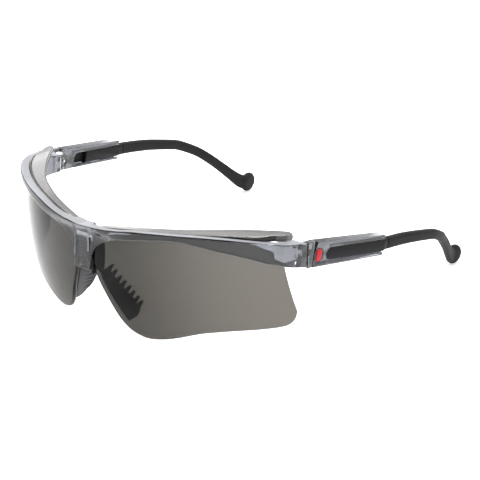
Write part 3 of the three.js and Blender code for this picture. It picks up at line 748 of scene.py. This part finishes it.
def bridge_serration():
    """The fine zigzag ridge and the raised line on the bridge's face."""
    zigzag = [[-3.75 + 0.3 * (-1) ** i, -5.0, 35.4 + 0.62 * i] for i in range(18)]
    ridge = bead(spline(zigzag, 90), (0.2, 0.2), 8)
    side_edge = [[3.5, -5.05, 38.6], [3.55, -5.1, 42], [3.5, -5.6, 45.6]]
    edge_line = bead(spline(side_edge, 20), (0.4, 0.25), 8)
    verts, faces = join([ridge, edge_line])
    obj = new_object("bridge_serration", place(verts), faces, frost_and_sheen)
    finish_piece(obj, "frame", [])


def paint_sheen_and_edge_highlight(obj):
    """Paints a paler sheen on the bar's upward faces and a paler highlight line on its lower front edge,
    as materials of their own.
    """
    obj.data.materials.append(frost_and_sheen)
    obj.data.materials.append(painted_edge_highlight)
    lowest = place([[0, 0, TOP_FACES_FROM]])[0][2]
    centre_y = place([[0, BEND_CENTRE, 45]])[0][1]
    for face in obj.data.polygons:
        out = Vector((face.center.x, face.center.y - centre_y, 0)).normalized()
        under = UNDER_FACING[0] < face.normal.z < UNDER_FACING[1]
        # the upward faces get the painted sheen
        if face.normal.z > TOP_FACING and face.center.z > lowest:
            face.material_index = TOP_SHEEN_SLOT
        # the lower front edge gets the painted highlight line
        elif under and face.normal.dot(out) > OUT_FACING and abs(face.center.x) > BRIDGE_SIDE:
            face.material_index = HIGHLIGHT_EDGE_SLOT


bar_verts, bar_faces = brow_body()
brow = new_object("brow_frame_moulding", place(bar_verts), bar_faces, frame_clear)
bridge_serration()
paint_sheen_and_edge_highlight(brow)
finish_piece(brow, "frame", ["brow_frame"])
# dark beads of painted shade along each guard's seam and round each lens's lug notch
both_sides(guard_shade_lines, "guard_shade_line", painted_shade_smoke, "frame", None)

# ------------------------------------------------------------------ temples
# back, out, up and half the height along the soft arm, in temple millimetres
ARM_PATH = [[40, 0, 0, 2.6], [47, -0.6, 0.2, 2.55], [54.2, -1.6, 0.3, 2.5], [62, -2.6, 0.1, 2.4],
            [69.3, -3.8, -0.4, 2.3], [75, -4.8, -0.9, 2.25], [80.5, -6, -1.7, 2.2],
            [88.7, -9.2, -4.45, 2.15], [93.9, -12, -7.2, 2.15], [100.4, -15, -11.4, 2.2],
            [106.8, -18.3, -16, 2.45], [111.5, -20.6, -19, 3.0], [114.6, -21.8, -19.4, 3.7]]
ARM_SAMPLES = 900
ARM_HALF = 1.8                           # half its thickness at the sleeve, a quarter less at the tip
GRIP_START = 43.85
GRIP_EDGE = 0.35                         # radius of its rounded front end
TIP = np.array([-22, 115.2, -19.4])
TIP_RADIUS = 4.4
TIP_ROUNDING = 0.45                      # the power of the rim's cosine: lower is squarer


def grip_body():
    """The soft arm, a rounded bar that thins and bends along its path."""
    last = ARM_SAMPLES - 1
    centre = spline([[out, back, up] for back, out, up, _ in ARM_PATH], ARM_SAMPLES)
    halves = spline([[i, point[3]] for i, point in enumerate(ARM_PATH)], ARM_SAMPLES)[:, 1]
    begin = int(np.argmin(abs(centre[:, 1] - GRIP_START)))
    shape = section(0.36, 0.30, flat=4, arc=6)
    rings = []
    for i in np.linspace(begin, last, 90).astype(int):
        ahead = centre[min(i + 2, last)] - centre[max(i - 2, 0)]
        ahead /= np.linalg.norm(ahead)
        out = np.array([ahead[1], -ahead[0], 0])
        out /= np.linalg.norm(out)
        sideways = (shape[:, :1] - 0.5) * 2 * out
        upwards = (shape[:, 1:] - 0.5) * 2 * np.cross(out, ahead)
        thick = ARM_HALF * (1 - 0.25 * (i / last) ** 2)
        ring = centre[i] + sideways * thick + upwards * halves[i]
        if i == begin:
            smaller = sideways * (thick - GRIP_EDGE) + upwards * (halves[i] - GRIP_EDGE)
            rings.append(centre[i] + smaller)
            ring = ring + ahead * GRIP_EDGE
        rings.append(ring)
    return loft(rings)


def tip_body():
    """The flat round end of the arm, which stands upright."""
    upright = turn("X", -TEMPLE_DIP)
    around = [2 * math.pi * k / 48 for k in range(48)]
    rings = []
    for degrees in np.linspace(-90, 90, 19):
        angle = math.radians(degrees)
        radius = TIP_RADIUS * max(math.cos(angle) ** TIP_ROUNDING, 1e-3)
        ring = [(math.sin(angle) * ARM_HALF, radius * math.cos(t), radius * math.sin(t)) for t in around]
        rings.append(np.array(ring) @ upright.T + TIP)
    return loft(rings)


def grip_whole():
    verts, faces = join([grip_body(), tip_body()])
    return temple(verts), faces


def blended(obj, voxel, rounds):
    """Overlapping bodies become one, and the joint between them is smoothed over."""
    bpy.context.view_layer.objects.active = obj
    remesh = obj.modifiers.new("Fuse", "REMESH")
    remesh.mode = "VOXEL"
    remesh.voxel_size = voxel / 1000
    remesh.use_smooth_shade = True
    smooth = obj.modifiers.new("Soften", "SMOOTH")
    smooth.factor = 0.5
    smooth.iterations = rounds
    bpy.context.view_layer.update()
    made = bpy.data.meshes.new_from_object(obj.evaluated_get(bpy.context.evaluated_depsgraph_get()))
    obj.modifiers.clear()
    obj.data = made
    obj.data.polygons.foreach_set("use_smooth", [True] * len(obj.data.polygons))


for grip in both_sides(grip_whole, "arm_grip", grip_dark, "{}_arm", "temple_grip"):
    blended(grip, voxel=0.35, rounds=8)

for side in ("left", "right"):
    softened(f"{side}_temple_slider", f"{side}_arm_slider", 0.35, 3, arm_dark, f"{side}_arm")
    softened(f"{side}_temple_sleeve", f"{side}_sleeve", 0.35, 3, sleeve_smoke, f"{side}_sleeve")
    softened(f"{side}_hinge_block", f"{side}_hinge", 0.3, 3, hinge_smoke, f"{side}_hinge")
    softened(f"{side}_fold_screw", f"{side}_screw", 0.15, 2, steel, "frame")
    softened(f"{side}_tilt_pin", f"{side}_pin", 0.12, 2, steel, f"{side}_hinge")
    softened(f"{side}_badge", f"{side}_marker", 0.12, 3, badge_red, f"{side}_sleeve")

# ------------------------------------------------------------------ nosepiece
PAD_FRONT = [[5.3, 0.4, 29.2], [7.2, 1.5, 24], [10.8, 4, 16.5], [14.4, 7.2, 9]]
PAD_REAR = [[3.6, 5.8, 28.6], [6.4, 9, 22.6], [10.2, 12, 17], [14, 13.8, 12.2]]
PAD_THICK = 1.4
PAD_ROUND = 1.4                          # how far its lower end bulges
PAD_SAMPLES = 200
RIBS = 8
FINGER = np.array([0.0, 0.85, 0.52])     # the way the ribs' free ends point
FINGER_LENGTH = 3.0
FINGER_SIZES = [(0.3, 0.6), (0.5, 1.0), (0.58, 1.05), (0.55, 0.9), (0.3, 0.5)]


def pad_plate():
    """The pad's curved plate, rounded out at its lower end."""
    u = np.linspace(0, 1, 40)
    v = np.linspace(0, 1, 14)
    front, rear = spline(PAD_FRONT, 40), spline(PAD_REAR, 40)
    along = np.gradient(front, axis=0)
    along /= np.linalg.norm(along, axis=1, keepdims=True)
    bulge = PAD_ROUND * 4 * v * (1 - v) * (u[:, None] ** 8)
    grid = front[:, None] * (1 - v[None, :, None]) + rear[:, None] * v[None, :, None]
    grid = grid + along[:, None] * bulge[..., None]
    rings = []
    for row in grid:
        rings.append(np.concatenate([row, (row + [PAD_THICK, 0, 0])[::-1]]))
    return loft(rings)


def oval_bar(points, halves, tall_way):
    """A bar of oval section: halves give its half height and half width at each point."""
    rings = []
    for point, (tall, wide) in zip(points, halves):
        t = np.linspace(0, 2 * math.pi, 13)[:-1, None]
        rings.append(point + tall_way * np.cos(t) * tall + np.array([1.0, 0, 0]) * np.sin(t) * wide)
    return loft(rings)


def pad_whole():
    """The plate and its ribs, which run out past its rear edge as fingers."""
    last = PAD_SAMPLES - 1
    front, rear = spline(PAD_FRONT, PAD_SAMPLES), spline(PAD_REAR, PAD_SAMPLES)
    shift = np.array([PAD_THICK / 2 - 0.25, 0, 0])
    parts = [pad_plate()]
    for i in range(RIBS):
        k = int(last * (i + 0.6) / RIBS)
        across_rib = rear[min(k + 3, last)] - rear[k - 3]
        across_rib /= np.linalg.norm(across_rib)
        root = front[k] * 0.62 + rear[k] * 0.38
        edge = rear[k]
        line = np.array([root, (root + edge) / 2, edge, edge + FINGER * FINGER_LENGTH * 0.6,
                         edge + FINGER * FINGER_LENGTH]) + shift
        parts.append(oval_bar(line, FINGER_SIZES, across_rib))
    return join(parts)


for pad in both_sides(pad_whole, "pad", pad_soft, "frame", "nose_pad"):
    blended(pad, voxel=0.17, rounds=2)

CLIP_SAMPLES = 60
CLIP_BAR = (1.5, 2.3)                    # width and depth of the clip's loops
SNAP_RIBS = 7
SNAP_PITCH = 1.45
CLIP_LOOP = [[1.75, 27.6], [1.85, 31], [1.95, 35], [2.3, 39], [3.6, 41.6], [5.3, 42.1], [6.5, 40.6],
             [6.8, 37], [6.7, 33], [6.2, 29.7]]


def clip_loop():
    """One raised loop of the clip, a bar of rounded section bent round in front view."""
    last = CLIP_SAMPLES - 1
    path = spline(CLIP_LOOP, CLIP_SAMPLES)
    shape = section(0.35, 0.2, flat=2, arc=5) - 0.5
    rings = []
    for i, (x, z) in enumerate(path):
        ahead = path[min(i + 1, last)] - path[max(i - 1, 0)]
        ahead /= np.linalg.norm(ahead)
        side_way = np.array([ahead[1], 0, -ahead[0]])
        wide = CLIP_BAR[0] if 0 < i < last else 1.0
        rings.append(np.array([x, 0.1, z]) + shape[:, :1] * side_way * wide
                     + shape[:, 1:] * np.array([0, CLIP_BAR[1], 0]))
    return loft(rings)


def clip_web():
    """The thin sheet behind the loops."""
    levels = (0.45, 0.6, 1.05, 1.2)
    half = [[6.2, 29.9], [6.8, 36], [6.4, 40], [5.2, 41.9], [3.4, 41.6], [1.5, 41]]
    edge = spline(half, 40)
    full = np.concatenate([edge, (edge * [-1, 1])[::-1]])
    return loft([np.stack([full[:, 0], np.full(len(full), y), full[:, 1]], -1) for y in levels])


def clip_plug():
    """The plug in the bridge with the snap ribs across its front."""
    parts = [box_body((-2.6, -3.2, 33.5), (2.6, -0.9, 44), 0.3)]
    for i in range(SNAP_RIBS):
        z = 34.4 + SNAP_PITCH * i
        parts.append(box_body((-2.3, -3.75, z), (2.3, -2.9, z + 0.65), 0.25))
    return join(parts)


def nose_arch():
    """The hard part of the nosepiece; its snap ribs, seen through the bridge, are paler."""
    # a dark strip down each side of the bridge
    liner = box_body((4.2, -4.0, 28.4), (4.75, 0.2, 40.5), 0.2)
    loop = clip_loop()
    verts, faces = join([loop, mirrored(loop), liner, mirrored(liner), clip_web(), clip_plug()])
    obj = new_object("nose_arch", place(verts), faces, clip_dark)
    obj.data.materials.append(rib_grey)
    plug_front = place([[0, -1.25, 38]])[0][1]
    plug_half = 0.003
    for face in obj.data.polygons:
        if face.center.y < plug_front and abs(face.center.x) < plug_half:
            face.material_index = 1
    finish_piece(obj, "frame", ["nose_clip"])


nose_arch()

# ------------------------------------------------------------------ floor, lights, camera
bpy.ops.mesh.primitive_plane_add(size=6, location=(0, 0, 0))
floor = bpy.context.object
floor.name = "floor"
floor_mat, _, floor_shader = material("pale_floor", (0.9, 0.9, 0.9), Roughness=0.7)
floor_shader.inputs["Emission Color"].default_value = (1, 1, 1, 1)
floor_shader.inputs["Emission Strength"].default_value = 0.5
floor.data.materials.append(floor_mat)

# the room is bright on one side and dark on the other, so that clear plastic shows its edges
BRIGHT_SIDE = (-0.5, 0.55, 0.67)
BRIGHT_ROOM = (1.0, 1.01, 1.03)
DARK_ROOM = (0.12, 0.124, 0.132)
world = bpy.data.worlds.new("studio")
bpy.context.scene.world = world
world.use_nodes = True
sky = world.node_tree.nodes["Background"]
sky.inputs["Strength"].default_value = 1.0
facing = world.node_tree.nodes.new("ShaderNodeTexCoord")
dot = world.node_tree.nodes.new("ShaderNodeVectorMath")
dot.operation = "DOT_PRODUCT"
dot.inputs[1].default_value = BRIGHT_SIDE
fade = world.node_tree.nodes.new("ShaderNodeMapRange")
fade.inputs["From Min"].default_value = -0.5
fade.inputs["From Max"].default_value = 0.6
shade = world.node_tree.nodes.new("ShaderNodeMix")
shade.data_type = "RGBA"
shade.inputs["A"].default_value = (*DARK_ROOM, 1)
shade.inputs["B"].default_value = (*BRIGHT_ROOM, 1)
world.node_tree.links.new(facing.outputs["Generated"], dot.inputs[0])
world.node_tree.links.new(dot.outputs["Value"], fade.inputs["Value"])
world.node_tree.links.new(fade.outputs["Result"], shade.inputs["Factor"])
world.node_tree.links.new(shade.outputs["Result"], sky.inputs["Color"])


def area(name, location, target, size, power):
    """A rectangular soft lamp aimed at a point."""
    data = bpy.data.lights.new(name, "AREA")
    data.shape = "RECTANGLE"
    data.size, data.size_y = size
    data.energy = power
    lamp = bpy.data.objects.new(name, data)
    lamp.location = location
    lamp.rotation_euler = (Vector(target) - Vector(location)).to_track_quat("-Z", "Y").to_euler()
    bpy.context.scene.collection.objects.link(lamp)


area("top_softbox", (-0.3, 0.35, 0.9), (0, 0, 0.02), (0.6, 0.45), 11)
area("side_softbox", (1.1, -0.2, 0.7), (0, 0, 0.02), (0.5, 0.5), 3)
area("far_softbox", (-0.66, 0.46, 0.36), (-0.06, -0.03, 0.04), (0.2, 0.4), 0.55)

AZIMUTH = math.radians(40.681)
ELEVATION = math.radians(22.611)
ROLL = math.radians(2.007)
LOOK_AT = [0, 91.10, 14.30]
DISTANCE = 1.151
toward = np.array([math.sin(AZIMUTH) * math.cos(ELEVATION), -math.cos(AZIMUTH) * math.cos(ELEVATION),
                   math.sin(ELEVATION)])
level = np.array([math.cos(AZIMUTH), math.sin(AZIMUTH), 0])
steep = np.cross(toward, level)
rightward = math.cos(ROLL) * level + math.sin(ROLL) * steep
upward = -math.sin(ROLL) * level + math.cos(ROLL) * steep
basis = REST @ np.stack([rightward, upward, toward], -1)
spot = place([LOOK_AT])[0] + basis[:, 2] * DISTANCE
camera_data = bpy.data.cameras.new("camera")
camera_data.lens = 202.85
camera_data.sensor_width = 36
camera_data.clip_start = 0.01
camera = bpy.data.objects.new("camera", camera_data)
camera.matrix_world = Matrix.Translation(spot) @ Matrix(basis.tolist()).to_4x4()
bpy.context.scene.collection.objects.link(camera)
bpy.context.scene.camera = camera
bpy.context.scene.view_settings.view_transform = "Standard"
